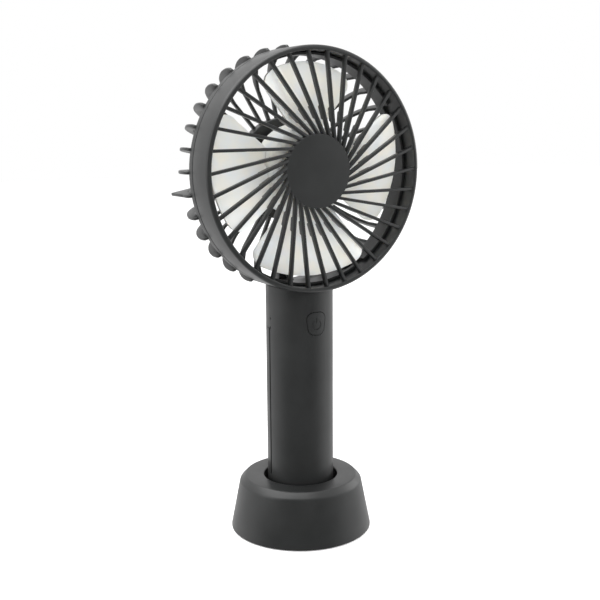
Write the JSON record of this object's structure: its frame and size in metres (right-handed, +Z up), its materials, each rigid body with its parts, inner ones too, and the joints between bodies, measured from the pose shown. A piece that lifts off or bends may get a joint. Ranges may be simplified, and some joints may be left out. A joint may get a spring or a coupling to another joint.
{
  "type": "desk fan",
  "caption": "Small rechargeable fan with a round caged head on a slim round handle, standing in a conical desk stand it lifts out of.",
  "frame": {"origin": "centre of the stand's underside, on the surface it stands on", "axes": "+Z up along the handle, the fan blows towards -Y, +X to the right seen from the front"},
  "size_m": [0.1078, 0.0648, 0.2187],
  "materials": {
    "charcoal_abs": "moulded with a fine satin texture",
    "milky_blade": "milky translucent, softly polished",
    "foot_rubber": "matt, soft",
    "zinc_screw": "bright zinc plate",
    "motor_steel": "drawn and plated",
    "shaft_steel": "ground",
    "ferrite": "sintered, matt",
    "white_nylon": "moulded",
    "brass_contact": "stamped or sintered",
    "copper_wire": "enamelled wire",
    "board_green": "solder-resist lacquer",
    "chip_black": "moulded epoxy",
    "plated_socket": "tin plate",
    "cell_wrap": "shrunk sleeve",
    "lead_pvc": "soft insulation"
  },
  "bodies": {
    "stand": {"base_shell": "charcoal_abs", "base_plate": "charcoal_abs", "foot_pads": "foot_rubber", "base_screws": "zinc_screw"},
    "fan": {"rear_grille": "charcoal_abs", "motor_cover": "charcoal_abs", "cover_screws": "zinc_screw", "motor_screws": "zinc_screw", "motor_can": "motor_steel", "motor_magnets": "ferrite", "motor_end_cap": "white_nylon", "motor_terminals": "brass_contact", "motor_bushes": "brass_contact", "brushes": "brass_contact", "handle_front": "charcoal_abs", "handle_rear": "charcoal_abs", "handle_screws": "zinc_screw", "control_board": "board_green", "board_screws": "zinc_screw", "tact_switch": "chip_black", "charge_board": "board_green", "charge_chips": "chip_black", "usb_socket": "plated_socket", "battery": "cell_wrap", "contact_plate": "brass_contact", "contact_spring": "shaft_steel", "spring_plate": "brass_contact", "motor_leads": "lead_pvc", "battery_leads": "lead_pvc", "board_leads": "lead_pvc"},
    "rotor": {"impeller": "milky_blade", "motor_shaft": "shaft_steel", "armature": "motor_steel", "windings": "copper_wire", "commutator": "copper_wire"},
    "front_cover": {"front_grille": "charcoal_abs"},
    "button": {"power_button": "charcoal_abs"},
    "battery_door": {"battery_cover": "charcoal_abs"}
  },
  "joints": [
    {"name": "fan_lift", "type": "slide", "parent": "stand", "child": "fan", "axis": [0, 0, 1], "range_m": [0, 0.03]},
    {"name": "rotor_spin", "type": "hinge", "parent": "fan", "child": "rotor", "pos_m": [0, 0, 0.165], "axis": [0, 1, 0], "continuous": true},
    {"name": "front_twist", "type": "hinge", "parent": "fan", "child": "front_cover", "pos_m": [0, 0, 0.165], "axis": [0, -1, 0], "range_deg": [0, 10]},
    {"name": "button_press", "type": "slide", "parent": "fan", "child": "button", "axis": [0, 1, 0], "range_m": [0, 0.0005], "stiffness_N_per_m": 3000, "springref_m": -0.0002},
    {"name": "battery_cover_off", "type": "slide", "parent": "fan", "child": "battery_door", "axis": [0, 1, 0], "range_m": [0, 0.02]}
  ]
}
